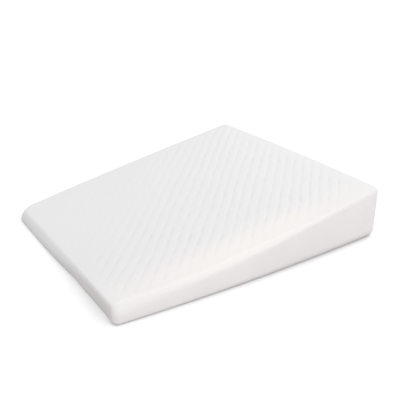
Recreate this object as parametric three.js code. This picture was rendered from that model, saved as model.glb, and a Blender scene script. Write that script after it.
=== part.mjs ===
// Wedge pillow: a firm wedge in a close white knit cover with diagonal ribs.
// Millimetres, +Z up. The thin end is at -X, the thick end at +X, and the base lies on Z = 0.
// "Near" is the -Y side and "far" the +Y side.

import * as THREE from "three";

// Driving dimensions: the wedge
const LENGTH = 360;
const THICK_END_WIDTH = 330;
const THIN_END_WIDTH = 304;
const THICK_END_HEIGHT_NEAR = 68.5;
const THICK_END_HEIGHT_FAR = 66.3;
const THIN_END_HEIGHT_NEAR = 18;
const THIN_END_HEIGHT_FAR = 12;
const CROWN = 2.5;
const SIDE_BOW = 3.3;
const BOW_FALL = 3;

// Driving dimensions: the near thin corner, which is drawn out and stands a little higher
const CORNER_PULL = 5;
const CORNER_LIFT = 3.6;
const PULL_START = 0.28;
const PULL_FALL = 3;

// Driving dimensions: the rounding of the cover over the core's edges
const TOP_ROUNDING = 6;
const TOP_ROUNDING_FAR_THIN = 10;
const BASE_TUCK_SHARE = 0.075;
const BASE_ROUNDING_SHARE = 0.22;
const BASE_ROUNDING_LARGEST = 11;
const LEAST_WALL = 1.5;
const SMALLEST_CORNER = 3;
const CORNER_RADIUS = { nearThick: 10, farThick: 10, farThin: 22, nearThin: 6 };

// Driving dimensions: the diagonal ribs, which run from the near thin corner to the far thick one
const RIB_PITCH = 12;
const GROOVE_WIDTH = 3.6;
const GROOVE_DEPTH = 0.8;
const CREST_RISE = 0.3;

// How finely the faces are divided
const STEP_ALONG_RIBS = 26;
const CORNER_STEPS = 5;
const STRAIGHT_SHARE = 0.8;
const BISECTION_STEPS = 40;
const CLOSEST_POINTS = 0.6;
const BASE_ROW_DEGREES = [0, 45, 90];
const TOP_ROW_DEGREES = [0, 30, 60, 90];

const HALF_LENGTH = LENGTH / 2;
const HALF_WIDTH = THICK_END_WIDTH / 2;
const GROOVE_SHOULDER = GROOVE_WIDTH / 2;

// The four sides in turn, anticlockwise from above, each ending in its corner.
const SIDES = [
  { name: "near", from: [-1, -1], to: [1, -1], start: "nearThin", end: "nearThick" },
  { name: "thick", from: [1, -1], to: [1, 1], start: "nearThick", end: "farThick" },
  { name: "far", from: [1, 1], to: [-1, 1], start: "farThick", end: "farThin" },
  { name: "thin", from: [-1, 1], to: [-1, -1], start: "farThin", end: "nearThin" },
];

// Share of the way from the thin end to the thick end, and from the near side to the far side.
function share(value, half) {
  return THREE.MathUtils.clamp(value / (2 * half) + 0.5, 0, 1);
}

// How much of the near thin corner's pull and lift reaches a place.
function cornerShare(x, y) {
  const near = THREE.MathUtils.clamp((-y / HALF_WIDTH - PULL_START) / (1 - PULL_START), 0, 1);
  return near * THREE.MathUtils.clamp(-x / HALF_LENGTH, 0, 1) ** PULL_FALL;
}

// Height of the top before its ribs: a slope, lower at the far side, a slight crown and the lifted corner.
function topHeight(x, y) {
  const along = x / LENGTH + 0.5;
  const across = share(y, HALF_WIDTH);
  const thin = THREE.MathUtils.lerp(THIN_END_HEIGHT_NEAR, THIN_END_HEIGHT_FAR, across);
  const thick = THREE.MathUtils.lerp(THICK_END_HEIGHT_NEAR, THICK_END_HEIGHT_FAR, across);
  const crownAlong = 1 - (2 * share(x, HALF_LENGTH) - 1) ** 2;
  const crownAcross = 1 - (2 * across - 1) ** 2;
  const raised = CROWN * crownAlong * crownAcross + CORNER_LIFT * cornerShare(x, y);
  return THREE.MathUtils.lerp(thin, thick, along) + raised;
}

// Draws the thin end in, bows each side outwards between its corners and pulls the near thin corner out.
function drawIn([x, y]) {
  const along = x / HALF_LENGTH;
  const across = y / HALF_WIDTH;
  const width = THREE.MathUtils.lerp(THIN_END_WIDTH, THICK_END_WIDTH, share(x, HALF_LENGTH));
  const bowX = SIDE_BOW * Math.sign(along) * Math.abs(along) ** BOW_FALL * (1 - across ** 2);
  const bowY = SIDE_BOW * Math.sign(across) * Math.abs(across) ** BOW_FALL * (1 - along ** 2);
  return [x + bowX - CORNER_PULL * cornerShare(x, y), (y * width) / THICK_END_WIDTH + bowY];
}

// The same turn, brought into the range from 0 to the number of sides.
function onceRound(turn) {
  return THREE.MathUtils.euclideanModulo(turn, SIDES.length);
}

// A point of the plan outline. The turn runs from 0 to 4, one unit for a side and the corner after it,
// and the inset moves the whole outline inwards.
function outlinePoint(turn, inset) {
  const wrapped = onceRound(turn);
  const side = SIDES[Math.floor(wrapped)];
  const step = wrapped - Math.floor(wrapped);
  const startRadius = Math.max(CORNER_RADIUS[side.start] - inset, SMALLEST_CORNER);
  const endRadius = Math.max(CORNER_RADIUS[side.end] - inset, SMALLEST_CORNER);
  const reach = [HALF_LENGTH - inset, HALF_WIDTH - inset];
  const outward = Math.atan2(side.from[1] + side.to[1], side.from[0] + side.to[0]);
  const normal = [Math.cos(outward), Math.sin(outward)];
  const start = side.from.map((sign, axis) => sign * (reach[axis] - startRadius));
  const end = side.to.map((sign, axis) => sign * (reach[axis] - endRadius));
  if (step >= STRAIGHT_SHARE) {
    const angle = outward + ((step - STRAIGHT_SHARE) / (1 - STRAIGHT_SHARE)) * (Math.PI / 2);
    return drawIn([end[0] + endRadius * Math.cos(angle), end[1] + endRadius * Math.sin(angle)]);
  }
  const way = step / STRAIGHT_SHARE;
  const radius = THREE.MathUtils.lerp(startRadius, endRadius, way);
  return drawIn([0, 1].map((axis) => {
    return THREE.MathUtils.lerp(start[axis], end[axis], way) + radius * normal[axis];
  }));
}

// Height of the pillow above one turn of the outer outline.
function heightAt(turn) {
  const [x, y] = outlinePoint(turn, 0);
  return topHeight(x, y);
}

// Rounding of the top edge there: softer towards the far thin corner, less where there is no room for it.
function topRounding(turn) {
  const [x, y] = outlinePoint(turn, 0);
  const farThin = (1 - share(x, HALF_LENGTH)) * share(y, HALF_WIDTH);
  const rounding = THREE.MathUtils.lerp(TOP_ROUNDING, TOP_ROUNDING_FAR_THIN, farThin);
  return Math.min(rounding, heightAt(turn) - baseRounding(turn) - LEAST_WALL);
}

// Height of the rounding at the base there.
function baseRounding(turn) {
  return Math.min(BASE_ROUNDING_LARGEST, heightAt(turn) * BASE_ROUNDING_SHARE);
}

// How far the base lies inside the outline there.
function baseTuck(turn) {
  return heightAt(turn) * BASE_TUCK_SHARE;
}

// A point of the rim, where the flat of the top meets its rounded edge.
function rimPoint(turn) {
  return outlinePoint(turn, topRounding(turn));
}

// Places across and along the ribs.
function acrossRibs([x, y]) {
  return (y - x) / Math.SQRT2;
}

function alongRibs([x, y]) {
  return (x + y) / Math.SQRT2;
}

function fromRibs(along, across) {
  return [(along - across) / Math.SQRT2, (along + across) / Math.SQRT2];
}

// Relief of the ribs: a broad crest with a narrow groove at each multiple of the pitch.
function ribRelief(across) {
  const inPitch = Math.abs(across / RIB_PITCH - Math.round(across / RIB_PITCH)) * RIB_PITCH;
  if (inPitch < GROOVE_SHOULDER) {
    return -GROOVE_DEPTH * (1 - inPitch / GROOVE_SHOULDER);
  }
  return (CREST_RISE * (inPitch - GROOVE_SHOULDER)) / (RIB_PITCH / 2 - GROOVE_SHOULDER);
}

// Turns at which the rim reaches least and furthest across the ribs: the middles of two corners.
const FIRST_TURN = (1 + STRAIGHT_SHARE) / 2;
const LAST_TURN = FIRST_TURN + SIDES.length / 2;

// The turn between two others at which the rim crosses a rib line.
function crossing(across, low, high) {
  let [below, above] = [low, high];
  for (let step = 0; step < BISECTION_STEPS; step += 1) {
    const middle = (below + above) / 2;
    if (acrossRibs(rimPoint(middle)) < across) {
      below = middle;
    } else {
      above = middle;
    }
  }
  return (below + above) / 2;
}

// The rib lines that the top face is divided along: groove, shoulder, crest and shoulder of each rib.
function ribLines() {
  const least = acrossRibs(rimPoint(FIRST_TURN)) + CLOSEST_POINTS;
  const furthest = acrossRibs(rimPoint(LAST_TURN)) - CLOSEST_POINTS;
  const offsets = [0, GROOVE_SHOULDER, RIB_PITCH / 2, RIB_PITCH - GROOVE_SHOULDER];
  const lines = [];
  for (let rib = Math.floor(least / RIB_PITCH); rib * RIB_PITCH <= furthest; rib += 1) {
    lines.push(...offsets.map((offset) => rib * RIB_PITCH + offset));
  }
  return lines.filter((across) => across >= least && across <= furthest);
}

// Turns inside each corner, so that it is round even where few rib lines cross it.
function cornerTurns() {
  const turns = [];
  for (let corner = 0; corner < SIDES.length; corner += 1) {
    for (let step = 0; step <= CORNER_STEPS; step += 1) {
      turns.push(corner + STRAIGHT_SHARE + ((1 - STRAIGHT_SHARE) * step) / CORNER_STEPS);
    }
  }
  return turns;
}

// Distance between two points of the plan.
function distance(a, b) {
  return Math.hypot(a[0] - b[0], a[1] - b[1]);
}

// All turns around the pillow: each end of each rib line, and the corner turns that lie clear of them.
function loopTurns(lines) {
  const turns = [FIRST_TURN, LAST_TURN];
  for (const across of lines) {
    turns.push(crossing(across, FIRST_TURN, LAST_TURN));
    turns.push(crossing(across, FIRST_TURN, LAST_TURN - SIDES.length));
  }
  const ends = turns.map((turn) => rimPoint(turn));
  for (const turn of cornerTurns()) {
    const point = rimPoint(turn);
    if (ends.every((end) => distance(end, point) > CLOSEST_POINTS)) {
      turns.push(turn);
    }
  }
  return turns.map(onceRound).sort((a, b) => a - b);
}

// The rows of the wall from the base to the rim, one point a turn in each.
function wallRows(turns) {
  const rows = [];
  for (const degrees of BASE_ROW_DEGREES) {
    const angle = THREE.MathUtils.degToRad(degrees);
    rows.push(turns.map((turn) => {
      const [x, y] = outlinePoint(turn, baseTuck(turn) * (1 - Math.sin(angle)));
      return [x, y, baseRounding(turn) * (1 - Math.cos(angle))];
    }));
  }
  for (const degrees of TOP_ROW_DEGREES) {
    const angle = THREE.MathUtils.degToRad(degrees);
    rows.push(turns.map((turn) => {
      const rounding = topRounding(turn);
      const [x, y] = outlinePoint(turn, rounding * (1 - Math.cos(angle)));
      const relief = ribRelief(acrossRibs(rimPoint(turn))) * Math.sin(angle) ** 2;
      return [x, y, topHeight(x, y) - rounding * (1 - Math.sin(angle)) + relief];
    }));
  }
  return rows;
}

// Collects the points and triangles of one closed body.
class Body {
  constructor() {
    this.points = [];
    this.triangles = [];
  }

  add(point) {
    this.points.push(point);
    return this.points.length - 1;
  }

  triangle(a, b, c) {
    this.triangles.push(a, b, c);
  }

  // A band between two closed rows of equal length, the upper one above.
  band(lower, upper) {
    lower.forEach((corner, index) => {
      const next = (index + 1) % lower.length;
      this.triangle(corner, lower[next], upper[next]);
      this.triangle(corner, upper[next], upper[index]);
    });
  }

  // A strip between two open rows that meet or are joined at both ends, with the left row on the
  // left-hand side: the row whose next point is less far along advances first.
  strip(right, left, along) {
    let [r, l] = [0, 0];
    while (r < right.length - 1 || l < left.length - 1) {
      const leftDone = l === left.length - 1;
      const rightDone = r === right.length - 1;
      if (!rightDone && (leftDone || along(right[r + 1]) <= along(left[l + 1]))) {
        this.triangle(right[r], right[r + 1], left[l]);
        r += 1;
      } else {
        this.triangle(right[r], left[l + 1], left[l]);
        l += 1;
      }
    }
  }

  geometry() {
    const geometry = new THREE.BufferGeometry();
    geometry.setAttribute("position", new THREE.Float32BufferAttribute(this.points.flat(), 3));
    geometry.setIndex(this.triangles);
    geometry.computeVertexNormals();
    return geometry;
  }
}

// The points between the two ends of one rib line, evenly spaced.
function lineThroughTop(body, across, entry, exit) {
  const start = alongRibs(body.points[entry]);
  const length = alongRibs(body.points[exit]) - start;
  const count = Math.max(1, Math.round(length / STEP_ALONG_RIBS));
  const row = [entry];
  for (let step = 1; step < count; step += 1) {
    const [x, y] = fromRibs(start + (length * step) / count, across);
    row.push(body.add([x, y, topHeight(x, y) + ribRelief(across)]));
  }
  row.push(exit);
  return row;
}

// The ribbed top face: strips between one rib line and the next, with the rim's points at their ends.
function addTop(body, rim, lines) {
  const across = (corner) => acrossRibs(body.points[corner]);
  const along = (corner) => alongRibs(body.points[corner]);
  const byAcross = (a, b) => across(a) - across(b);
  const sorted = [...rim].sort(byAcross);
  const [first, last] = [sorted[0], sorted[sorted.length - 1]];
  const start = rim.indexOf(first);
  const fromFirst = [...rim.slice(start), ...rim.slice(0, start)];
  const exits = fromFirst.slice(0, fromFirst.indexOf(last) + 1);
  const entries = [first, ...fromFirst.slice(fromFirst.indexOf(last)).reverse()];
  const nearest = (list, value) => {
    return list.reduce((best, corner) => {
      return Math.abs(across(corner) - value) < Math.abs(across(best) - value) ? corner : best;
    });
  };
  let row = [first];
  for (const value of [...lines, null]) {
    const entry = value === null ? last : nearest(entries, value);
    const exit = value === null ? last : nearest(exits, value);
    const next = value === null ? [last] : lineThroughTop(body, value, entry, exit);
    const beforeRow = entries.slice(entries.indexOf(row[0]) + 1, entries.indexOf(entry)).reverse();
    const afterRow = exits.slice(exits.indexOf(row[row.length - 1]) + 1, exits.indexOf(exit));
    body.strip([...beforeRow, ...row, ...afterRow], next, along);
    row = next;
  }
}

// The flat base: a fan about its middle.
function addBase(body, ring) {
  const middle = body.add([0, 0, 0]);
  ring.forEach((corner, index) => {
    body.triangle(middle, ring[(index + 1) % ring.length], corner);
  });
}

// The whole pillow as one closed body.
function wedgeGeometry() {
  const body = new Body();
  const lines = ribLines();
  const turns = loopTurns(lines);
  const rows = wallRows(turns).map((row) => row.map((point) => body.add(point)));
  for (let level = 0; level < rows.length - 1; level += 1) {
    body.band(rows[level], rows[level + 1]);
  }
  addTop(body, rows[rows.length - 1], lines);
  addBase(body, rows[0]);
  return body.geometry();
}

const knitCover = new THREE.MeshStandardMaterial({ color: "#f0efed", roughness: 0.92, metalness: 0 });

function wedgePillow() {
  const mesh = new THREE.Mesh(wedgeGeometry(), knitCover);
  mesh.name = "wedge_pillow";
  return mesh;
}

const pillow = new THREE.Group();
pillow.add(wedgePillow());

export default pillow;
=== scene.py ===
"""A wedge pillow in a ribbed white knit cover, on a plain pale floor.

Lengths are in metres. The thin end is at -X, the thick end at +X and the base on z = 0.
"Near" is the -Y side and "far" the +Y side.
"""

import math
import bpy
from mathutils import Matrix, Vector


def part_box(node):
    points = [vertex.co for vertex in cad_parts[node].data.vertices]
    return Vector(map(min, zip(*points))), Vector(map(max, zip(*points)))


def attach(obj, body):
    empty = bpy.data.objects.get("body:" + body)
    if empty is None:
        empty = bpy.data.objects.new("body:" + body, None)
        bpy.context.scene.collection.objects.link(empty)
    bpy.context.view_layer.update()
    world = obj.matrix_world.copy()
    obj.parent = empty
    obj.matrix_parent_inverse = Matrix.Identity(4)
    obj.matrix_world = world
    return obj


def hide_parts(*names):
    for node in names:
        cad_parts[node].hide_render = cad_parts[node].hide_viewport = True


bl_info = {
    "name": "Wedge pillow",
    "version": (1, 0, 0),
    "blender": (4, 5, 0),
    "location": "3D View > Sidebar > Wedge pillow",
    "description": "Sews a ribbed knit cover over a firm wedge and sets it in a pale studio",
    "category": "Add Mesh",
}

import bpy
import numpy as np
from bpy.props import FloatProperty, FloatVectorProperty, PointerProperty
from mathutils import Vector

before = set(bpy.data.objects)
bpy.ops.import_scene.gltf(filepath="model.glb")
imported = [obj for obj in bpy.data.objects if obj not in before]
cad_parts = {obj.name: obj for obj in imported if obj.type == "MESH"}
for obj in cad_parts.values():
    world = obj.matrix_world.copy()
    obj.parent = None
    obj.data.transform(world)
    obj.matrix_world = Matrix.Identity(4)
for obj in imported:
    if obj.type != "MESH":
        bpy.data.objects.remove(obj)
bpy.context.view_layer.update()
NODE = "wedge_pillow"
BODY = "root"
NODE_LOW, NODE_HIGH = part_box(NODE)

# The four corners in turn, anticlockwise from above, with side k running from corner k to corner k + 1
CORNERS = np.array([[-1, -1], [1, -1], [1, 1], [-1, 1]])
SIDE_COUNT = len(CORNERS)

# The least radius in plan, the least wall between its two edges, and how far the sides bow out
SMALLEST_CORNER = 0.003
LEAST_WALL = 0.0015
SIDE_BOW = 0.0033

# A side takes a turn of 1, this share of it for the straight part and the rest for the corner after it
STRAIGHT_SHARE = 0.8
HALF_CORNER = (1 - STRAIGHT_SHARE) / 2

# The turn at which the near thin corner starts, and how long before it the edge changes
CORNER_START = SIDE_COUNT - 1 + STRAIGHT_SHARE
CORNER_APPROACH = 0.05

# How far that corner's soft front reaches along the near side, where that side's edge starts to grow
# crisp, and how long it takes, in turns
FRONT_REACH = 0.13
CRISP_START = 0.3
CRISP_APPROACH = 0.4

# The powers by which the bow fades towards the middle and the corner's pull towards the thick end, and
# where across the pillow the pull and the lift set in, as shares of half the width
BOW_FALL = 3
PULL_FALL = 3
PULL_START = 0.28
LIFT_START = -0.1
LIFT_REACH = 0.85

# The powers by which the top edge falls, and its length when spread flat as a share of its width
EDGE_FALL = 2.1
NEAR_EDGE_FALL = 1.5
EDGE_STRETCH = 1.43

# How the thin end's crisp edge and the lean under it fade towards the far corner
CRISP_TOP = 1.3
CRISP_FADE = 1.6
LEAN_FADE = 1.4

# How far the base lies inwards and how high its edge is rounded, as shares of the height above it, and
# the turn over which the near side's share fades
BASE_TUCK_SHARE = 0.11
NEAR_TUCK_SHARE = 0.13
THIN_TUCK_SHARE = 0.09
FRONT_TUCK_SHARE = 0.12
BASE_ROUNDING_SHARE = 0.22
NEAR_TUCK_FADE = 0.15

# Levels of the wall: up to 1 round the base edge, to 2 up the side, to 3 over the top edge, to 4 inwards
SEAM_LEVEL = 2.0
BASE_SEAM_LEVEL = 0.5
PATCH_INSET = 0.022

# How finely the cover is divided: fine as shown, and coarse as cloth for the simulation
BASE_HALVINGS = 3
FINE = {
    "cells": (248, 224),
    "corner_cells": 8,
    "levels": np.concatenate([
        np.linspace(0, 1, 6)[:-1],
        np.linspace(1, 1.9, 17),
        [1.94, 1.965, 1.98, 1.99, 2, 2.04, 2.09, 2.16, 2.25, 2.36, 2.5, 2.66, 2.83],
        np.linspace(3, 4, 9),
    ]),
}
COARSE = {
    "cells": (56, 48),
    "corner_cells": 2,
    "levels": np.array([0, 0.5, 1, 1.25, 1.5, 1.75, 2, 2.33, 2.66, 3, 3.33, 3.66, 4]),
}
SIMULATED_FRAMES = 20
CLOTH_PRESSURE = 4.0

# How far in from the near edge the painted highlight is strongest and how far it reaches, and the same
# along the pillow as shares of its length
HIGHLIGHT_MIDDLE = 0.014
HIGHLIGHT_REACH = 0.024
HIGHLIGHT_CENTRE = 0.42
HIGHLIGHT_LENGTH = 0.42

# The ribs' mean evenness and the slow waves that change it, then the waves by which the ribs stray
# sideways: each has a height, a rate along and across the pillow, and a start
EVENNESS = 0.76
EVENNESS_WAVES = ((0.10, 53, 29, 1.0), (0.08, -41, 67, 0.0), (0.06, 97, 83, 2.0))
WANDER_WAVES = ((0.0007, 61, -23, 0.0), (0.0005, 19, 113, 1.3))

# How much of the ribs is lost at the far thin corner, where that starts and how far it takes
FADING = 0.7
FADING_START = 0.12
FADING_REACH = 0.4

# How the dashes are staggered from one groove to the next, and how their depth varies
STAGGER = 0.33
STAGGER_HEIGHT = 0.2
STAGGER_RATE = 2.4
WAVER_SHARE = 0.35
WAVER_LENGTH = 1.62
WAVER_STAGGER = 0.71

# The gathers beside a seam: their reach from it, their lengths along it, how unevenly they follow each
# other and how much their height changes
GATHER_REACH = 0.006
GATHER_LENGTH = 0.0016
GATHER_SHIFT_LENGTH = 0.011
GATHER_CHANGE_LENGTH = 0.043
GATHER_SHIFT = 1.7
GATHER_CHANGE = 0.4

# The yarn: how it leans in a stitch and how round it is, how far its colour drifts, its roughness and
# what its fuzz adds to that and to the height, and its gloss
YARN_LEAN = 1.3
YARN_ROUND = 0.3
DRIFT_SHARE = 0.5
YARN_ROUGHNESS = 0.84
FUZZ_ROUGHNESS = 0.12
FUZZ_HEIGHT = 0.35
YARN_GLOSS = {"Sheen Weight": 0.12, "Sheen Roughness": 0.5, "Specular IOR Level": 0.2}

# Where the key lamp hangs, the place on the pillow that it points at, and its width
KEY_PLACE = (0.60, -0.15, 0.60)
KEY_AIM = (0.08, 0.0, 0.04)
KEY_WIDTH = 0.4

# Middle and focus of each soft patch of sky
SKY_NEAR = ((0.0, -0.958, 0.287), 2.0)
SKY_FAR = ((0.0, 0.781, 0.625), 5.0)


def length(name, description, default):
    """A length that the user may change."""
    return FloatProperty(
        name=name, description=description, default=default, min=0.0, precision=4, unit="LENGTH"
    )


def share_of(name, description, default):
    """A share from 0 to 1 that the user may change."""
    return FloatProperty(
        name=name, description=description, default=default, min=0.0, max=1.0, subtype="FACTOR"
    )


def strength(name, description, default):
    """A brightness that the user may change."""
    return FloatProperty(name=name, description=description, default=default, min=0.0)


def colour(name, description, default):
    """A colour that the user may change."""
    return FloatVectorProperty(
        name=name, description=description, default=default, min=0.0, max=1.0, subtype="COLOR"
    )


class WedgeForm(bpy.types.PropertyGroup):
    """Sizes of the covered wedge."""

    length: length(
        "Length", "From the thin end to the thick end", 2 * (NODE_HIGH.x - SIDE_BOW)
    )
    thick_width: length("Thick end width", "Width at the thick end", NODE_HIGH.y - NODE_LOW.y)
    thin_width: length("Thin end width", "Width at the thin end", 0.304)
    thick_height_near: length("Thick end, near", "Height of the thick end's near corner", 0.0685)
    thick_height_far: length("Thick end, far", "Height of the thick end's far corner", 0.0663)
    thin_height_near: length("Thin end, near", "Height of the thin end's near corner", 0.018)
    thin_height_far: length("Thin end, far", "Height of the thin end's far corner", 0.012)
    crown: length("Crown", "Rise of the top's middle", 0.0020)
    side_bow: length("Side bow", "How far each side bows out between its corners", SIDE_BOW)
    near_bow: length("Near bow", "How much further the near side bows out", 0.0032)
    side_puff: length("Side puff", "How far each side swells at half its height", 0.0003)
    corner_pull: length("Corner pull", "How far the near thin corner is drawn out", 0.0070)
    corner_lift: length("Corner lift", "How much higher the near thin corner stands", 0.0060)
    top_rounding: length("Top rounding", "Width of the top edge", 0.0050)
    soft_rounding: length("Soft rounding", "Width of the top edge at the far thin corner", 0.0095)
    near_rounding: length("Near rounding", "Width of the near side's top edge, thin half", 0.0062)
    front_rounding: length("Front rounding", "Width of the near thin corner's top edge", 0.0100)
    crisp_rounding: length("Crisp rounding", "Width of the top edge where it is crisp", 0.0025)
    base_rounding: length("Base rounding", "Largest height of the base's rounded edge", 0.011)
    swell: length("Swell", "Furthest that the cover may move as it fills", 0.0012)
    corner_radii: FloatVectorProperty(
        name="Corner radii",
        description="Radii in plan: near thin, near thick, far thick and far thin corner",
        size=4,
        default=(0.007, 0.009, 0.010, 0.022),
        unit="LENGTH",
    )


class CoverRelief(bpy.types.PropertyGroup):
    """Sizes of the knit's ribs and of the seams."""

    pitch: length("Rib pitch", "From one groove to the next", 0.012)
    groove_width: length("Groove width", "Width of a groove between two ribs", 0.0060)
    groove_depth: length("Groove depth", "Depth of a groove below the flat of the cloth", 0.0005)
    crest_rise: length("Crest rise", "Rise of a rib above the flat of the cloth", 0.0002)
    dash: length("Dash length", "Length of the dashes that each groove is broken into", 0.026)
    dash_break: share_of("Dash break", "How far a groove closes between its dashes", 0.8)
    side_share: share_of("Side relief", "Relief of the side band's ribs, as a share", 0.12)
    edge_share: share_of("Edge relief", "Relief that is left where the cloth is stretched", 0.1)
    edge_reach: length("Edge reach", "How far in from the edge the ribs are flattened", 0.022)
    near_reach: length("Near edge reach", "How far in they are flattened at the near edge", 0.036)
    seam_width: length("Seam width", "Width of the pressed line at a seam", 0.0022)
    seam_depth: length("Seam depth", "Depth of the pressed line at a seam", 0.00018)
    pucker: length("Pucker", "Height of the small gathers beside a seam", 0.00006)


class CoverFinish(bpy.types.PropertyGroup):
    """Colours and yarn sizes of the knit."""

    top: colour("Top", "Colour of the top's knit", (0.673, 0.673, 0.676))
    # Painted light: the same knit as the top, given a lighter colour than the top's so that the sides,
    # which the lamps leave darker, are lifted
    band: colour("Side band", "Colour of the side band's knit", (0.822, 0.785, 0.787))
    rosy: colour("Drift", "Colour that the knit drifts towards in places", (0.687, 0.657, 0.658))
    # Painted highlight: a lighter, warmer colour on the top beside the near edge, where the light falls
    # on it
    stretched: colour("Stretched", "Colour where the top is stretched", (0.742, 0.713, 0.693))
    # Partly the ground yarn that shows in a groove, and partly painted shade deepening the grooves
    groove: colour("Groove", "Colour at the bottom of the grooves", (0.587, 0.586, 0.591))
    wale: length("Wale", "Width of one column of stitches", 0.0013)
    course: length("Course", "Height of one row of stitches", 0.0010)
    stitch_depth: length("Stitch depth", "Height of a stitch", 0.00010)


class Studio(bpy.types.PropertyGroup):
    """Floor, lights and camera."""

    floor: colour("Floor", "Colour of the floor as the camera sees it", (0.92, 0.92, 0.92))
    bounce: colour("Bounce", "Colour of the light that the floor gives back", (0.42, 0.42, 0.42))
    sky_near: strength("Sky near", "Brightness of the soft light from the near side", 1.9)
    sky_far: strength("Sky far", "Brightness of the soft light from the far side", 1.23)
    key: FloatProperty(
        name="Key light", description="Power of the lamp above the thick end", default=0.95,
        unit="POWER",
    )
    azimuth: FloatProperty(
        name="Azimuth", description="Where the camera stands round the pillow",
        default=math.radians(-34.55), subtype="ANGLE",
    )
    elevation: FloatProperty(
        name="Elevation", description="How high the camera stands above the floor",
        default=math.radians(25.38), subtype="ANGLE",
    )
    distance: length("Distance", "From the camera to the point that it looks at", 0.8796)
    lens: FloatProperty(
        name="Lens", description="Focal length in millimetres on a sensor 36 mm wide",
        default=53.97,
    )
    aim: FloatVectorProperty(
        name="Aim", description="The point that the camera looks at",
        default=(0.0497, 0.0259, 0.0), subtype="TRANSLATION",
    )


def share(value, half):
    """Share of the way from minus half to plus half, kept between 0 and 1."""
    return np.clip(value / (2 * half) + 0.5, 0, 1)


def mix(start, end, way):
    """The value a share of the way from start to end."""
    return start + (end - start) * way


def smooth_step(way):
    """A smooth rise from 0 to 1."""
    way = np.clip(way, 0, 1)
    return way * way * (3 - 2 * way)


def corner_share(form, x, y):
    """How much of the near thin corner's pull reaches a place: a slope across the pillow times a power
    of the way towards the thin end."""
    near = np.clip((-y / (form.thick_width / 2) - PULL_START) / (1 - PULL_START), 0, 1)
    return near * np.clip(-x / (form.length / 2), 0, 1) ** PULL_FALL


def lift_share(form, x, y):
    """How much of that corner's lift reaches a place: a smooth rise across the pillow times a power of
    the way towards the thin end."""
    near = smooth_step((-y / (form.thick_width / 2) - LIFT_START) / LIFT_REACH)
    return near * np.clip(-x / (form.length / 2), 0, 1) ** PULL_FALL


def top_height(form, x, y):
    """Height of the top: a slope from the thin end to the thick end, both a little lower at the far
    side, plus a crown that is a parabola along the pillow times a parabola across it, plus the lift
    of the near thin corner."""
    along = share(x, form.length / 2)
    across = share(y, form.thick_width / 2)
    thin = mix(form.thin_height_near, form.thin_height_far, across)
    thick = mix(form.thick_height_near, form.thick_height_far, across)
    arch = (1 - (2 * along - 1) ** 2) * (1 - (2 * across - 1) ** 2)
    raised = form.crown * arch + form.corner_lift * lift_share(form, x, y)
    return mix(thin, thick, x / form.length + 0.5) + raised


def local_width(form, x):
    """Width of the pillow at a place along it."""
    return mix(form.thin_width, form.thick_width, share(x, form.length / 2))


def draw_in(form, x, y):
    """Narrows the thin end, bows each side out by a parabola that fades towards the middle, the near
    side further, and pulls the near thin corner out."""
    along = x / (form.length / 2)
    across = y / (form.thick_width / 2)
    bow_x = form.side_bow * np.sign(along) * np.abs(along) ** BOW_FALL * (1 - across**2)
    bow_y = form.side_bow * np.sign(across) * np.abs(across) ** BOW_FALL * (1 - along**2)
    bow_near = form.near_bow * np.clip(-across, 0, 1) ** BOW_FALL * (1 - along**2)
    pulled = x + bow_x - form.corner_pull * corner_share(form, x, y)
    return pulled, y * local_width(form, x) / form.thick_width + bow_y - bow_near


def outline(form, turn, inset):
    """A point of the plan outline, moved inwards by the inset. The turn runs from 0 to 4, one unit for
    a side and the corner after it: a circle's centre travels along the side, then its radius swings
    through a quarter turn round the corner."""
    side = np.floor(turn).astype(int) % SIDE_COUNT
    step = turn - np.floor(turn)
    way = np.clip(step / STRAIGHT_SHARE, 0, 1)
    swing = np.clip((step - STRAIGHT_SHARE) / (1 - STRAIGHT_SHARE), 0, 1)
    angle = (side - 1 + swing) * math.pi / 2
    radii = np.array(form.corner_radii)
    inset = np.broadcast_to(inset, np.broadcast_shapes(np.shape(inset), turn.shape))
    ends = [(side + ahead) % SIDE_COUNT for ahead in (0, 1)]
    end_radii = [np.maximum(radii[end] - inset, SMALLEST_CORNER) for end in ends]
    radius = mix(*end_radii, way)
    reach = (form.length / 2, form.thick_width / 2)
    centre = [
        mix(*(CORNERS[end, axis] * (reach[axis] - inset - end_radius)
              for end, end_radius in zip(ends, end_radii)), way)
        for axis in (0, 1)
    ]
    return draw_in(form, centre[0] + radius * np.cos(angle), centre[1] + radius * np.sin(angle))


def lean_share(form, turn):
    """How much of the base's tuck is a straight lean of the whole wall: all of it on the thin end
    beside the near corner, and none elsewhere."""
    far = share(outline(form, turn, 0.0)[1], form.thick_width / 2)
    turn = np.mod(turn, SIDE_COUNT)
    before_corner = smooth_step((CORNER_START - turn) / CORNER_APPROACH)
    return np.where(turn > SIDE_COUNT - 1, before_corner, 0) * smooth_step(1 - LEAN_FADE * far)


def near_share(turn):
    """How much the top edge has the form of the near side's: all of it along that side, fading round
    the corners at its ends."""
    turn = np.mod(turn, SIDE_COUNT)
    rising = smooth_step((turn - CORNER_START) / (2 * HALF_CORNER))
    return np.where(turn < 1, smooth_step((1 - turn) / (2 * HALF_CORNER)), rising)


def front_share(turn):
    """How much a place belongs to the near thin corner's soft front: all of it round that corner,
    fading along the near side."""
    turn = np.mod(turn, SIDE_COUNT)
    rising = smooth_step((turn - CORNER_START) / CORNER_APPROACH + 1)
    return np.where(turn < 1, smooth_step(1 - turn / FRONT_REACH), rising)


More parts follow.
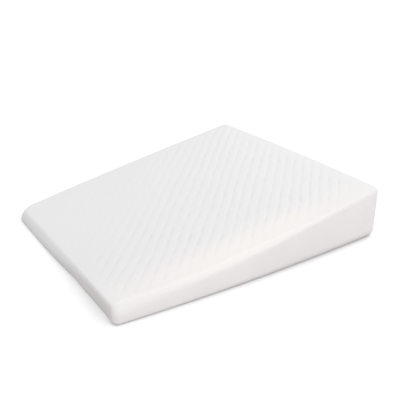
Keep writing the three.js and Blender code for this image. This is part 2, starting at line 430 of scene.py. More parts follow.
def base_edge(form, turn):
    """How far the base lies inside the outline, and how high its rounded edge reaches."""
    height = top_height(form, *outline(form, turn, 0.0))
    on_near = np.mod(turn + HALF_CORNER, SIDE_COUNT)
    fading = smooth_step((1 + HALF_CORNER - on_near) / NEAR_TUCK_FADE)
    on_near = smooth_step(on_near / (2 * HALF_CORNER)) * fading
    share_inwards = mix(BASE_TUCK_SHARE, NEAR_TUCK_SHARE, on_near)
    share_inwards = mix(share_inwards, THIN_TUCK_SHARE, lean_share(form, turn))
    share_inwards = mix(share_inwards, FRONT_TUCK_SHARE, front_share(turn))
    return height * share_inwards, np.minimum(form.base_rounding, height * BASE_ROUNDING_SHARE)


def top_edge(form, turn):
    """Width of the top edge: softer towards the far thin corner, crisper along the thin end towards
    the near corner, widest at that corner's front, and along the near side from wide to crisp."""
    x, y = outline(form, turn, 0.0)
    thin = 1 - share(x, form.length / 2)
    far = share(y, form.thick_width / 2)
    on_thin = smooth_step(np.mod(turn, SIDE_COUNT) - (SIDE_COUNT - 2 + STRAIGHT_SHARE))
    radius = mix(form.top_rounding, form.soft_rounding, thin * np.sqrt(far))
    radius = mix(radius, form.crisp_rounding, on_thin * smooth_step(CRISP_TOP - CRISP_FADE * far))
    near = mix(form.near_rounding, form.front_rounding, front_share(turn))
    on_near = np.where(np.mod(turn, SIDE_COUNT) < 1, np.mod(turn, 1), 0)
    near = mix(near, form.crisp_rounding, smooth_step((on_near - CRISP_START) / CRISP_APPROACH))
    return mix(radius, near, near_share(turn))


def wall(form, turn, level):
    """A point of the cover's wall, and how far in its cloth lies when it is spread flat. The base edge
    is a quarter circle, the side swells by a sine, the top edge falls by a power of the way back to
    the side, so that it meets the top smoothly and the side in a crease, and from level 3 the surface
    follows the top inwards."""
    edge_x, edge_y = outline(form, turn, 0.0)
    height = top_height(form, edge_x, edge_y)
    base_tuck, base_rounding = base_edge(form, turn)
    rounding = np.minimum(top_edge(form, turn), height - base_rounding - LEAST_WALL)
    base_angle = np.clip(level, 0, 1) * math.pi / 2
    rise = np.clip(level - 1, 0, 1)
    over_edge = np.clip(level - 2, 0, 1)
    inwards = np.clip(level - 3, 0, 1)
    puff = form.side_puff * np.sin(rise * math.pi) * height / form.thick_height_near
    side = base_rounding * (1 - np.cos(base_angle)) + (height - rounding - base_rounding) * rise
    lean = 1 - side / (height - rounding)
    tuck = base_tuck * mix(1 - np.sin(base_angle), lean, lean_share(form, turn))
    over = (PATCH_INSET - rounding) * inwards
    x, y = outline(form, turn, tuck - puff + rounding * over_edge + over)
    power = mix(EDGE_FALL, NEAR_EDGE_FALL, near_share(turn))
    top = top_height(form, x, y) - rounding * (1 - over_edge) ** power
    z = np.where(level <= 2, side, top)
    spread = rounding * (1 - EDGE_STRETCH * (1 - over_edge)) + over
    return np.stack([x, y, z], axis=-1), spread


def run_share(line):
    """Share of a line's length at each of its points."""
    run = np.concatenate([[0], np.cumsum(np.linalg.norm(np.diff(line, axis=0), axis=1))])
    return run / run[-1]


def border_sides(border, cells):
    """The four sides of a closed border: near and far along the pillow, thick and thin across it."""
    along, across = cells
    closed = np.concatenate([border, border[:1]])
    near = closed[: along + 1]
    thick = closed[along : along + across + 1]
    far = closed[along + across : 2 * along + across + 1][::-1]
    thin = closed[2 * along + across :][::-1]
    return near, thick, far, thin


def fill_patch(border, cells):
    """Points inside a closed border: the blends between its facing sides, less the blend of its four
    corners (a Coons patch)."""
    near, thick, far, thin = border_sides(border, cells)
    u = run_share(near)[:, None, None]
    v = run_share(thick)[None, :, None]
    facing = mix(near[:, None], far[:, None], v) + mix(thin[None], thick[None], u)
    return facing - mix(mix(near[0], far[0], v), mix(near[-1], far[-1], v), u)


def number_patch(border, cells, first):
    """Vertex numbers of a patch: those of its border, and new ones inside."""
    along, across = cells
    numbers = np.empty((along + 1, across + 1), int)
    numbers[:, 0], numbers[-1], numbers[:, -1], numbers[0] = border_sides(border, cells)
    inside = (along - 1, across - 1)
    numbers[1:-1, 1:-1] = first + np.arange(inside[0] * inside[1]).reshape(inside)
    return numbers


def side_turns(side, cells, corner_cells):
    """Turns along one side, from the middle of one corner to the middle of the next."""
    return side + np.concatenate([
        np.linspace(-HALF_CORNER, 0, corner_cells, endpoint=False),
        np.linspace(0, STRAIGHT_SHARE, cells - 2 * corner_cells, endpoint=False),
        np.linspace(STRAIGHT_SHARE, 1 - HALF_CORNER, corner_cells + 1),
    ])


class Cover:
    """The cover's grid: rings of points up the wall, a patch that fills the top, and the base."""

    def __init__(self, form, division):
        self.form = form
        self.cells = division["cells"]
        self.levels = division["levels"]
        self.sides = [
            side_turns(side, self.cells[side % 2], division["corner_cells"])
            for side in range(SIDE_COUNT)
        ]
        self.turns = np.concatenate([side[:-1] for side in self.sides])
        self.points = []
        self.count = 0
        rings, self.spread = wall(form, self.turns[None], self.levels[:, None])
        self.rings = self.add(rings)
        self.top = self.add_patch(self.rings[-1], rings[-1], self.cells, self.top_of)
        self.inside = self.top[1:-1, 1:-1]
        self.add_base(rings[0])
        self.points = np.concatenate(self.points)

    def row_at(self, level):
        """The row of the wall's rings that lies at a level."""
        return int(np.argmin(np.abs(self.levels - level)))

    def add(self, points):
        """Adds an array of points and returns their numbers."""
        self.points.append(points.reshape(-1, 3))
        numbers = self.count + np.arange(points[..., 0].size).reshape(points.shape[:-1])
        self.count += numbers.size
        return numbers

    def add_patch(self, numbers, border, cells, lift):
        """Adds the points inside a border, lifted to their height."""
        inside = lift(fill_patch(border[:, :2], cells)[1:-1, 1:-1])
        patch = number_patch(numbers, cells, self.count)
        self.add(inside)
        return patch

    def top_of(self, plan):
        """Plan points lifted to the top's height."""
        height = top_height(self.form, plan[..., 0], plan[..., 1])
        return np.concatenate([plan, height[..., None]], axis=-1)

    @staticmethod
    def floor_of(plan):
        """Plan points on the base."""
        return np.concatenate([plan, np.zeros_like(plan[..., :1])], axis=-1)

    def add_base(self, border):
        """Adds the base: rings with half as many points as the one outside them, and a patch."""
        turns = self.turns
        numbers = self.rings[0]
        inset = base_edge(self.form, turns)[0]
        step = self.form.length / self.cells[0]
        self.base_rings = [numbers]
        for halving in range(1, BASE_HALVINGS + 1):
            turns = turns[::2]
            inset = inset[::2] + step * 2**halving
            border = self.floor_of(np.stack(outline(self.form, turns, inset), axis=-1))
            numbers = self.add(border)
            self.base_rings.append(numbers)
        cells = [count // 2**BASE_HALVINGS for count in self.cells]
        self.base = self.add_patch(numbers, border, cells, self.floor_of)

    def rims(self):
        """The triangles between each two of the base's rings."""
        return [halving_faces(*pair) for pair in zip(self.base_rings, self.base_rings[1:])]


def grid_faces(numbers):
    """The four-sided faces of a grid of vertex numbers."""
    corners = (numbers[:-1, :-1], numbers[:-1, 1:], numbers[1:, 1:], numbers[1:, :-1])
    return np.stack(corners, axis=-1).reshape(-1, 4)


def close_ring(numbers):
    """Rings of numbers with their first column again at the end."""
    return np.concatenate([numbers, numbers[..., :1]], axis=-1)


def halving_faces(outer, inner):
    """Triangles of the base between a ring and the one inside it, which has half as many points."""
    start, middle, end = outer[::2], outer[1::2], np.roll(outer[::2], -1)
    ahead = np.roll(inner, -1)
    triangles = [(middle, start, inner), (middle, inner, ahead), (end, middle, ahead)]
    return np.concatenate([np.stack(triangle, axis=-1) for triangle in triangles])


def cover_mesh(name, cover):
    """The cover as one closed mesh, with the faces of the band, the top and the base in that order."""
    band = grid_faces(close_ring(cover.rings))
    top = grid_faces(cover.top.T)
    base = grid_faces(cover.base)
    faces = [face for part in (band, top, base, *cover.rims()) for face in part.tolist()]
    mesh = bpy.data.meshes.new(name)
    mesh.from_pydata(cover.points.tolist(), [], faces)
    mesh.update()
    return mesh


def read_points(mesh):
    """The points of a mesh as an array."""
    points = np.empty(len(mesh.vertices) * 3)
    mesh.vertices.foreach_get("co", points)
    return points.reshape(-1, 3)


def between(samples, places, axis, wrap):
    """Values between evenly numbered samples, on smooth curves through them (Catmull-Rom)."""
    samples = np.moveaxis(samples, axis, 0)
    before, after = samples[-1:], samples[:2]
    if not wrap:
        before = 2 * samples[:1] - samples[1:2]
        after = np.repeat(2 * samples[-1:] - samples[-2:-1], 2, axis=0)
    padded = np.concatenate([before, samples, after])
    whole = np.floor(places).astype(int)
    way = (places - whole)[:, None, None]
    a, b, c, d = (padded[whole + ahead] for ahead in range(4))
    curve = c - a + way * (2 * a - 5 * b + 4 * c - d + way * (3 * (b - c) + d - a))
    return np.moveaxis(b + 0.5 * way * curve, 0, axis)


def simulate(cover):
    """How far each point of a coarse cover moves when it fills as cloth under pressure: its base and
    its upper seam are held, and the rest swells."""
    piece = bpy.data.objects.new("cover_cloth", cover_mesh("cover_cloth", cover))
    scene = bpy.context.scene
    scene.collection.objects.link(piece)
    held = piece.vertex_groups.new(name="held")
    base_numbers = np.concatenate([ring.ravel() for ring in (*cover.base_rings, cover.base)])
    held.add(np.unique(base_numbers).tolist(), 1.0, "REPLACE")
    held.add(cover.rings[cover.row_at(SEAM_LEVEL)].tolist(), 1.0, "REPLACE")
    cloth = piece.modifiers.new("fill", "CLOTH")
    cloth.collision_settings.use_collision = False
    cloth.point_cache.frame_start = 1
    cloth.point_cache.frame_end = SIMULATED_FRAMES
    settings = cloth.settings
    settings.vertex_group_mass = held.name
    settings.use_pressure = True
    settings.uniform_pressure_force = CLOTH_PRESSURE
    settings.effector_weights.gravity = 0.0
    for number in range(1, SIMULATED_FRAMES + 1):
        scene.frame_set(number)
    filled = piece.evaluated_get(bpy.context.evaluated_depsgraph_get())
    move = read_points(filled.data) - cover.points
    scene.frame_set(1)
    mesh = piece.data
    bpy.data.objects.remove(piece)
    bpy.data.meshes.remove(mesh)
    return move


def fill_out(cover, form):
    """Moves the fine cover as the coarse one moves in the simulation, no further than the swell."""
    coarse = Cover(form, COARSE)
    move = simulate(coarse)
    distance = np.linalg.norm(move, axis=1, keepdims=True)
    move *= form.swell / np.maximum(distance.max(), form.swell)
    levels = np.interp(cover.levels, coarse.levels, np.arange(len(coarse.levels)))
    round_turns = np.append(coarse.turns, coarse.turns[0] + SIDE_COUNT)
    turns = np.interp(cover.turns, round_turns, np.arange(len(round_turns)))
    rings = between(between(move[coarse.rings], levels, 0, False), turns, 1, True)
    places = [
        np.interp(cover.sides[axis], coarse.sides[axis], np.arange(len(coarse.sides[axis])))
        for axis in (0, 1)
    ]
    top = between(between(move[coarse.top], places[0], 0, False), places[1], 1, False)
    cover.points[cover.inside] += top[1:-1, 1:-1]
    cover.points[cover.rings] += rings


def rib_relief(relief, across, along):
    """Height of the ribs and how deep a point lies in a groove. A rib rises as a parabola between two
    grooves, and a groove is a smooth bowl that closes in part between its dashes, which are staggered
    from one groove to the next and differ in strength."""
    number = np.round(across / relief.pitch)
    offset = np.abs(across - number * relief.pitch)
    bowl = (1 - np.clip(offset / (relief.groove_width / 2), 0, 1) ** 2) ** 2
    crest = 1 - (1 - offset / (relief.pitch / 2)) ** 2
    stagger = STAGGER * number + STAGGER_HEIGHT * np.sin(STAGGER_RATE * number)
    dash = 0.5 + 0.5 * np.cos(2 * math.pi * (along / relief.dash + stagger))
    waver_place = along / (WAVER_LENGTH * relief.dash) + WAVER_STAGGER * number
    waver = 0.5 + 0.5 * np.cos(2 * math.pi * waver_place)
    depth = bowl * (1 - relief.dash_break * dash**2) * mix(1, waver, WAVER_SHARE)
    return relief.crest_rise * crest - relief.groove_depth * depth, depth


def waves(table, x, y):
    """Sum of slow waves over the top."""
    return sum(
        height * np.sin(along * x + across * y + start) for height, along, across, start in table
    )


def unevenness(form, x, y):
    """How evenly the ribs are raised: waves in three directions, from about 0.5 to 1, and a fading
    towards the far thin corner."""
    far_thin = (1 - share(x, form.length / 2)) * share(y, form.thick_width / 2)
    left = 1 - FADING * smooth_step((far_thin - FADING_START) / FADING_REACH)
    return (EVENNESS + waves(EVENNESS_WAVES, x, y)) * left


def edge_flattening(form, relief, x, y):
    """Share of the relief that is left as the cloth is stretched over the edge."""
    half_width = local_width(form, x) / 2
    sides = smooth_step(np.minimum(form.length / 2 - np.abs(x), half_width - y) / relief.edge_reach)
    near = smooth_step((half_width + y) / relief.near_reach)
    return mix(relief.edge_share, 1, sides * near)


def stretched(form, x, y):
    """How strongly the top is painted lighter beside the near edge, as a painted highlight: a bell
    across the pillow times one along it."""
    offset = local_width(form, x) / 2 + y - HIGHLIGHT_MIDDLE
    reach = np.where(offset < 0, 2 * HIGHLIGHT_REACH, HIGHLIGHT_REACH)
    along = (share(x, form.length / 2) - HIGHLIGHT_CENTRE) / HIGHLIGHT_LENGTH
    return np.exp(-((offset / reach) ** 2) - along**2)


def seam_relief(relief, distance, run):
    """Height beside a seam: a pressed line, and gathers that fade away from it."""
    press = np.exp(-((distance / (relief.seam_width / 2)) ** 2))
    fade = np.exp(-((distance / GATHER_REACH) ** 2))
    shift = GATHER_SHIFT * np.sin(run / GATHER_SHIFT_LENGTH)
    change = mix(1, np.sin(run / GATHER_CHANGE_LENGTH), GATHER_CHANGE)
    gathers = np.sin(run / GATHER_LENGTH + shift) * change
    return relief.pucker * gathers * fade - relief.seam_depth * press


def band_run(cover):
    """Places on the side band when it is spread flat: along it and up it, with the first column again
    at the end."""
    corners = cover.points[close_ring(cover.rings)]
    outer = corners[cover.row_at(1)]
    run = np.concatenate([[0], np.cumsum(np.linalg.norm(np.diff(outer, axis=0), axis=1))])
    steps = np.linalg.norm(np.diff(corners, axis=0), axis=2)
    rise = np.concatenate([np.zeros((1, len(run))), np.cumsum(steps, axis=0)])
    return np.broadcast_to(run, rise.shape), rise


def raise_relief(cover, mesh, form, relief):
    """Raises the ribs and presses the seams along the surface's own normals. The band's length is
    stretched to a whole number of ribs, so that they meet. Returns how deep each point lies in a
    groove."""
    normals = np.empty(len(mesh.vertices) * 3)
    mesh.vertices.foreach_get("normal", normals)
    height = np.zeros(len(cover.points))
    groove = np.zeros(len(cover.points))
    run, rise = band_run(cover)
    whole = round(run[0, -1] / math.sqrt(2) / relief.pitch) * relief.pitch * math.sqrt(2)
    along_band = (run * whole / run[0, -1])[:, :-1]
    up_band = rise[:, :-1]
    band, band_groove = rib_relief(
        relief, (along_band + up_band) / math.sqrt(2), (along_band - up_band) / math.sqrt(2)
    )
    flat = outline(form, cover.turns[None], cover.spread)
    top_ring, top_groove = top_relief(form, relief, *flat)
    levels = cover.levels[:, None]
    seam = cover.row_at(SEAM_LEVEL)
    base_seam = cover.row_at(BASE_SEAM_LEVEL)
    on_band = np.clip(levels - BASE_SEAM_LEVEL, 0, 1) * relief.side_share
    above = levels > SEAM_LEVEL
    ribs = np.where(above, top_ring, band * on_band)
    pressed = sum(
        seam_relief(relief, up_band - up_band[row], along_band) for row in (seam, base_seam)
    )
    lifted = np.clip(levels / BASE_SEAM_LEVEL, 0, 1)
    height[cover.rings] = (ribs + pressed) * lifted
    groove[cover.rings] = np.where(above, top_groove, band_groove * on_band)
    x, y, _ = cover.points[cover.inside].T
    height[cover.inside.T], groove[cover.inside.T] = top_relief(form, relief, x, y)
    cover.points += normals.reshape(-1, 3) * height[:, None]
    return groove


def top_relief(form, relief, x, y):
    """The top's ribs, which run from the near thin corner to the far thick one."""
    evenness = unevenness(form, x, y) * edge_flattening(form, relief, x, y)
    across = (y - x) / math.sqrt(2) + waves(WANDER_WAVES, x, y)
    height, groove = rib_relief(relief, across, (x + y) / math.sqrt(2))
    return height * evenness, groove * evenness


def painted_highlight_values(cover, form):
    """How strongly each point of the top panel carries the painted highlight beside the near edge, and 0
    elsewhere.
    """
    values = np.zeros(len(cover.points))
    above = cover.levels > SEAM_LEVEL
    for numbers in (cover.rings[above], cover.inside):
        places = cover.points[numbers]
        values[numbers] = stretched(form, places[..., 0], places[..., 1])
    return values


def cloth_places(cover):
    """Places on the flat cloth for each corner of each face, in the order of the mesh's faces."""
    run, rise = band_run(cover)
    flat = np.stack(outline(cover.form, cover.turns[None], cover.spread), axis=-1)
    flat = np.concatenate([flat, flat[:, :1]], axis=1)
    faces = grid_faces(np.arange(run.size).reshape(run.shape))
    above = faces[:, 0] // run.shape[1] >= cover.row_at(SEAM_LEVEL)
    top_places, band_places = (
        grid.reshape(-1, 2)[faces] for grid in (flat, np.stack([run, rise], axis=-1))
    )
    rings = np.where(above[:, None, None], top_places, band_places)
    plan = cover.points[:, :2]
    flat_faces = (grid_faces(cover.top.T), grid_faces(cover.base), *cover.rims())
    parts = [rings, *(plan[faces] for faces in flat_faces)]
    return np.concatenate([part.reshape(-1, 2) for part in parts])


def panel_numbers(cover):
    """Which panel each face belongs to: 0 for the top, 1 for the side band and 2 for the base."""
    seam = cover.row_at(SEAM_LEVEL)
    base_seam = cover.row_at(BASE_SEAM_LEVEL)
    row = np.arange(len(cover.levels) - 1)
    row_panel = np.where(row >= seam, 0, np.where(row >= base_seam, 1, 2))
    rings = np.repeat(row_panel, len(cover.turns))
    top = np.zeros(cover.cells[0] * cover.cells[1], int)
    base_count = len(grid_faces(cover.base)) + sum(len(rim) for rim in cover.rims())
    return np.concatenate([rings, top, np.full(base_count, 2)])


def crease_seam(cover, mesh):
    """Marks the edges along the upper seam as sharp."""
    ends = np.empty(len(mesh.edges) * 2, int)
    mesh.edges.foreach_get("vertices", ends)
    seam = cover.row_at(SEAM_LEVEL)
    sharp = mesh.attributes.new("sharp_edge", "BOOLEAN", "EDGE")
    on_seam = np.isin(ends.reshape(-1, 2), cover.rings[seam]).all(axis=1)
    sharp.data.foreach_set("value", on_seam)


class Nodes:
    """Short ways to place nodes in one node tree."""

    def __init__(self, tree):
        self.tree = tree

    def add(self, kind, **settings):
        """Adds a node of a kind and sets its own values."""
        node = self.tree.nodes.new(kind)
        for name, value in settings.items():
            setattr(node, name, value)
        return node

    def feed(self, socket, value):
        """Links another socket to this one, or sets it to a number or colour."""
        if isinstance(value, bpy.types.NodeSocket):
            self.tree.links.new(value, socket)
        else:
            socket.default_value = value

    def group(self, tree, inputs):
        """The outputs of a node group whose inputs are fed."""
        node = self.add("ShaderNodeGroup", node_tree=tree)
        for name, value in inputs.items():
            self.feed(node.inputs[name], value)
        return node.outputs

    def maths(self, operation, *values):
        """A Math node's result."""
        node = self.add("ShaderNodeMath", operation=operation)
        for socket, value in zip(node.inputs, values):
            self.feed(socket, value)
        return node.outputs[0]

    def blend(self, way, start, end):
        """A colour a share of the way from one to another."""
        node = self.add("ShaderNodeMix", data_type="RGBA")
        self.feed(node.inputs["Factor"], way)
        self.feed(node.inputs["A"], start)
        self.feed(node.inputs["B"], end)
        return node.outputs["Result"]

    def noise(self, coordinates, scale, detail=2.0):
        """A noise texture's value, from 0 to 1."""
        node = self.add("ShaderNodeTexNoise")
        self.feed(node.inputs["Vector"], coordinates)
        self.feed(node.inputs["Scale"], scale)
        self.feed(node.inputs["Detail"], detail)
        return node.outputs["Fac"]


def new_group(name, inputs, outputs):
    """A shader node group with named inputs and outputs, and its inner input and output nodes."""
    tree = bpy.data.node_groups.new(name, "ShaderNodeTree")
    for label, kind, default in inputs:
        socket = tree.interface.new_socket(label, in_out="INPUT", socket_type=kind)
        if default is not None:
            socket.default_value = default
    for label in outputs:
        tree.interface.new_socket(label, in_out="OUTPUT", socket_type="NodeSocketFloat")
    nodes = Nodes(tree)
    entry = nodes.add("NodeGroupInput")
    leave = nodes.add("NodeGroupOutput")
    return nodes, entry.outputs, leave.inputs


def knit_loops_group():
    """Height of knitted stitches: columns that are round across, each crossed by slanted yarns that
    lean towards the column's middle, so that they read as a row of Vs."""
    nodes, given, result = new_group(
        "Knit loops",
        [
            ("Cloth place", "NodeSocketVector", None),
            ("Wale", "NodeSocketFloat", 0.0013),
            ("Course", "NodeSocketFloat", 0.0010),
        ],
        ["Height"],
    )
    place = nodes.add("ShaderNodeSeparateXYZ")
    nodes.feed(place.inputs[0], given["Cloth place"])
    column = nodes.maths("DIVIDE", place.outputs["X"], given["Wale"])
    offset = nodes.maths("SUBTRACT", nodes.maths("FRACT", column), 0.5)
    lean = nodes.maths("MULTIPLY", nodes.maths("ABSOLUTE", offset), YARN_LEAN)
    row = nodes.maths("ADD", nodes.maths("DIVIDE", place.outputs["Y"], given["Course"]), lean)
    yarn = nodes.maths("SINE", nodes.maths("MULTIPLY", row, 2 * math.pi))
    round_column = nodes.maths("COSINE", nodes.maths("MULTIPLY", offset, math.pi))
    yarn_height = nodes.maths("MULTIPLY_ADD", yarn, YARN_ROUND, 1 - YARN_ROUND)
    nodes.feed(result["Height"], nodes.maths("MULTIPLY", round_column, yarn_height))
    return nodes.tree


def yarn_fuzz_group():
    """Fine fuzz of the yarn, and a slow drift over the whole cover, both from 0 to 1."""
    nodes, given, result = new_group(
        "Yarn fuzz",
        [
            ("Place", "NodeSocketVector", None),
            ("Fuzz scale", "NodeSocketFloat", 2200.0),
            ("Drift scale", "NodeSocketFloat", 14.0),
        ],
        ["Fuzz", "Drift"],
    )
    nodes.feed(result["Fuzz"], nodes.noise(given["Place"], given["Fuzz scale"], 3.0))
    nodes.feed(result["Drift"], nodes.noise(given["Place"], given["Drift scale"], 1.0))
    return nodes.tree


def opaque(rgb):
    """A colour with full alpha."""
    return (*rgb, 1.0)


def knit_material(name, cloth, finish, groups, groove_shade, stitch_share):
    """White knit: stitches and fuzz as bump, grooves darker partly from the ground yarn and partly from
    painted shade, a slow drift of colour, a painted highlight beside the near edge and a soft sheen."""
    material = bpy.data.materials.new(name)
    material.use_nodes = True
    nodes = Nodes(material.node_tree)
    shader = material.node_tree.nodes["Principled BSDF"]
    place = nodes.add("ShaderNodeTexCoord").outputs["Object"]
    groove = nodes.add("ShaderNodeAttribute", attribute_name="groove").outputs["Fac"]
    loops = nodes.group(groups["loops"], {
        "Cloth place": nodes.add("ShaderNodeUVMap", uv_map="cloth").outputs["UV"],
        "Wale": finish.wale,
        "Course": finish.course,
    })
    fuzz = nodes.group(groups["fuzz"], {"Place": place})
    # Painted highlight: the top's colour is mixed towards a lighter, warmer one beside the near edge
    painted_highlight_share = nodes.add("ShaderNodeAttribute", attribute_name="painted_highlight").outputs["Fac"]
    drift = nodes.maths("MULTIPLY", fuzz["Drift"], DRIFT_SHARE)
    drifted = nodes.blend(drift, opaque(cloth), opaque(finish.rosy))
    pulled = nodes.blend(painted_highlight_share, drifted, opaque(finish.stretched))
    # Painted shade in the grooves, on top of the darker ground yarn that shows there
    shade = nodes.maths("MULTIPLY", groove, groove_shade)
    nodes.feed(shader.inputs["Base Color"], nodes.blend(shade, pulled, opaque(finish.groove)))
    rough = nodes.maths("MULTIPLY_ADD", fuzz["Fuzz"], FUZZ_ROUGHNESS, YARN_ROUGHNESS)
    nodes.feed(shader.inputs["Roughness"], rough)
    height = nodes.maths("MULTIPLY_ADD", fuzz["Fuzz"], FUZZ_HEIGHT, loops["Height"])
    bump = nodes.add("ShaderNodeBump")
    nodes.feed(bump.inputs["Strength"], stitch_share)
    nodes.feed(bump.inputs["Distance"], finish.stitch_depth)
    nodes.feed(bump.inputs["Height"], height)
    nodes.feed(shader.inputs["Normal"], bump.outputs["Normal"])
    for socket, value in YARN_GLOSS.items():
        shader.inputs[socket].default_value = value
    return material


class PILLOW_OT_sew_cover(bpy.types.Operator):
    """Sews the ribbed knit cover over the wedge"""

    bl_idname = "pillow.sew_cover"
    bl_label = "Sew the cover"

    def execute(self, context):
        form = context.scene.wedge_form
        relief = context.scene.cover_relief
        finish = context.scene.cover_finish
        cover = Cover(form, FINE)
        fill_out(cover, form)
        mesh = cover_mesh("pillow_cover", cover)
        groove = raise_relief(cover, mesh, form, relief)
        mesh.vertices.foreach_set("co", cover.points.astype(np.float32).ravel())
        # How deep each point lies in a groove, and how strongly it carries the painted highlight
        for name, values in (("groove", groove), ("painted_highlight", painted_highlight_values(cover, form))):
            attribute = mesh.attributes.new(name, "FLOAT", "POINT")
            attribute.data.foreach_set("value", values.astype(np.float32))
        places = mesh.uv_layers.new(name="cloth")
        places.data.foreach_set("uv", cloth_places(cover).astype(np.float32).ravel())
        groups = {"loops": knit_loops_group(), "fuzz": yarn_fuzz_group()}
        # The side band and the hidden base take the band's colour, painted lighter than the top's; the
        # groove shade is painted shade in the grooves
        for name, cloth, groove_shade, stitch_share in (
            ("ribbed_knit_top", finish.top, 0.35, 0.6),
            ("ribbed_knit_band", finish.band, 0.3, 0.6),
            ("plain_knit_base", finish.band, 0.0, 0.8),
        ):
            mesh.materials.append(
                knit_material(name, cloth, finish, groups, groove_shade, stitch_share)
            )
        mesh.polygons.foreach_set("material_index", panel_numbers(cover))
        mesh.polygons.foreach_set("use_smooth", np.ones(len(mesh.polygons), bool))
        crease_seam(cover, mesh)
        mesh.update()
        piece = bpy.data.objects.new("pillow_cover", mesh)
        context.scene.collection.objects.link(piece)
        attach(piece, BODY)
        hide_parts(NODE)
        return {"FINISHED"}


def sky_glow_group():
    """A soft patch of sky: its brightness times a power of the share by which a direction turns
    towards the patch's middle."""
    nodes, given, result = new_group(
        "Sky glow",
        [
            ("Direction", "NodeSocketVector", None),
            ("Middle", "NodeSocketVector", None),
            ("Brightness", "NodeSocketFloat", 1.0),
            ("Focus", "NodeSocketFloat", 2.0),
        ],
        ["Light"],
    )
    cosine = nodes.add("ShaderNodeVectorMath", operation="DOT_PRODUCT")
    nodes.feed(cosine.inputs[0], given["Direction"])
    nodes.feed(cosine.inputs[1], given["Middle"])
    turned = nodes.maths("MULTIPLY_ADD", cosine.outputs["Value"], 0.5, 0.5)
    patch = nodes.maths("POWER", turned, given["Focus"])
    nodes.feed(result["Light"], nodes.maths("MULTIPLY", patch, given["Brightness"]))
    return nodes.tree


def towards(azimuth, elevation):
    """The direction from the pillow towards a place round it. Azimuth 0 is on the near side, and it
    grows towards the thick end."""
    flat = math.cos(elevation)
    return Vector((math.sin(azimuth) * flat, -math.cos(azimuth) * flat, math.sin(elevation)))


def area_lamp(name, power, width, place, aim):
    """A square lamp that shines from a place towards a point."""
    lamp = bpy.data.lights.new(name, "AREA")
    lamp.shape = "SQUARE"
    lamp.size = width
    lamp.energy = power
    piece = bpy.data.objects.new(name, lamp)
    piece.location = place
    piece.rotation_mode = "QUATERNION"
    piece.rotation_quaternion = (aim - place).to_track_quat("-Z", "Y")
    bpy.context.scene.collection.objects.link(piece)
    return piece


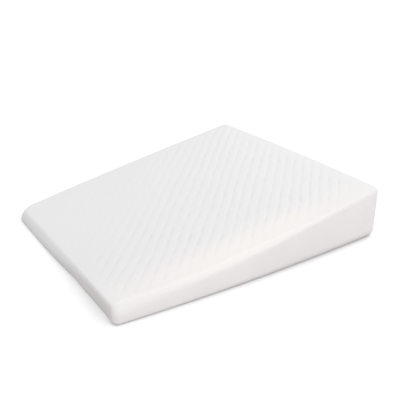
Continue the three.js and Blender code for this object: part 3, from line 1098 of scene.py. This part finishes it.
class PILLOW_OT_set_stage(bpy.types.Operator):
    """Lays the floor, hangs the lamps and places the camera"""

    bl_idname = "pillow.set_stage"
    bl_label = "Set the stage"

    def execute(self, context):
        studio = context.scene.studio
        self.lay_floor(studio)
        self.light(studio)
        self.place_camera(studio)
        return {"FINISHED"}

    def lay_floor(self, studio):
        """A wide flat floor at the pillow's base. It looks whiter than the light that it gives back, as
        in a picture whose floor is brightened until it is white."""
        reach = 8.0
        mesh = bpy.data.meshes.new("floor")
        corners = [(reach * x, reach * y, 0.0) for x, y in CORNERS.tolist()]
        mesh.from_pydata(corners, [], [list(range(SIDE_COUNT))])
        material = bpy.data.materials.new("pale_floor")
        material.use_nodes = True
        shader = material.node_tree.nodes["Principled BSDF"]
        nodes = Nodes(material.node_tree)
        seen = nodes.add("ShaderNodeLightPath").outputs["Is Camera Ray"]
        shown = nodes.blend(seen, opaque(studio.bounce), opaque(studio.floor))
        nodes.feed(shader.inputs["Base Color"], shown)
        shader.inputs["Roughness"].default_value = 0.9
        shader.inputs["Specular IOR Level"].default_value = 0.0
        mesh.materials.append(material)
        floor = bpy.data.objects.new("floor", mesh)
        bpy.context.scene.collection.objects.link(floor)

    def light(self, studio):
        """Soft patches of sky at the near and the far side, behind a plain white backdrop that only
        the camera sees, and a lamp above the thick end."""
        scene = bpy.context.scene
        world = bpy.data.worlds.new("studio")
        world.use_nodes = True
        scene.world = world
        nodes = Nodes(world.node_tree)
        backdrop = world.node_tree.nodes["Background"]
        backdrop.inputs["Color"].default_value = (1.0, 1.0, 1.0, 1.0)
        direction = nodes.add("ShaderNodeTexCoord").outputs["Generated"]
        group = sky_glow_group()
        total = 0.0
        for brightness, (middle, focus) in (
            (studio.sky_near, SKY_NEAR),
            (studio.sky_far, SKY_FAR),
        ):
            glow = nodes.group(group, {
                "Direction": direction,
                "Middle": middle,
                "Brightness": brightness,
                "Focus": focus,
            })
            total = nodes.maths("ADD", glow["Light"], total)
        seen = nodes.add("ShaderNodeLightPath").outputs["Is Camera Ray"]
        nodes.feed(backdrop.inputs["Strength"], nodes.maths("MAXIMUM", total, seen))
        area_lamp("key_lamp", studio.key, KEY_WIDTH, Vector(KEY_PLACE), Vector(KEY_AIM))
        scene.view_settings.view_transform = "Standard"
        scene.view_settings.look = "None"

    def place_camera(self, studio):
        """The camera at the photograph's angle."""
        scene = bpy.context.scene
        data = bpy.data.cameras.new("camera")
        data.lens = studio.lens
        data.sensor_width = 36.0
        camera = bpy.data.objects.new("camera", data)
        back = towards(studio.azimuth, studio.elevation)
        camera.location = Vector(studio.aim) + back * studio.distance
        camera.rotation_mode = "QUATERNION"
        camera.rotation_quaternion = (-back).to_track_quat("-Z", "Y")
        scene.collection.objects.link(camera)
        scene.camera = camera


SETTINGS = {
    "wedge_form": WedgeForm,
    "cover_relief": CoverRelief,
    "cover_finish": CoverFinish,
    "studio": Studio,
}


class PILLOW_PT_panel(bpy.types.Panel):
    """Sizes, colours and the two steps"""

    bl_idname = "PILLOW_PT_panel"
    bl_label = "Wedge pillow"
    bl_space_type = "VIEW_3D"
    bl_region_type = "UI"
    bl_category = "Wedge pillow"

    def draw(self, context):
        for name, group in SETTINGS.items():
            box = self.layout.box()
            for entry in group.__annotations__:
                box.prop(getattr(context.scene, name), entry)
        for operator in (PILLOW_OT_sew_cover, PILLOW_OT_set_stage):
            self.layout.operator(operator.bl_idname)


CLASSES = (*SETTINGS.values(), PILLOW_OT_sew_cover, PILLOW_OT_set_stage, PILLOW_PT_panel)


def register():
    """Registers the classes and the scene's settings."""
    for cls in CLASSES:
        bpy.utils.register_class(cls)
    for name, group in SETTINGS.items():
        setattr(bpy.types.Scene, name, PointerProperty(type=group))


def unregister():
    """Takes the settings and the classes away again."""
    for name in SETTINGS:
        delattr(bpy.types.Scene, name)
    for cls in reversed(CLASSES):
        bpy.utils.unregister_class(cls)


def main():
    """Makes the pillow and its stage."""
    register()
    bpy.ops.pillow.sew_cover()
    bpy.ops.pillow.set_stage()


if __name__ == "__main__":
    main()
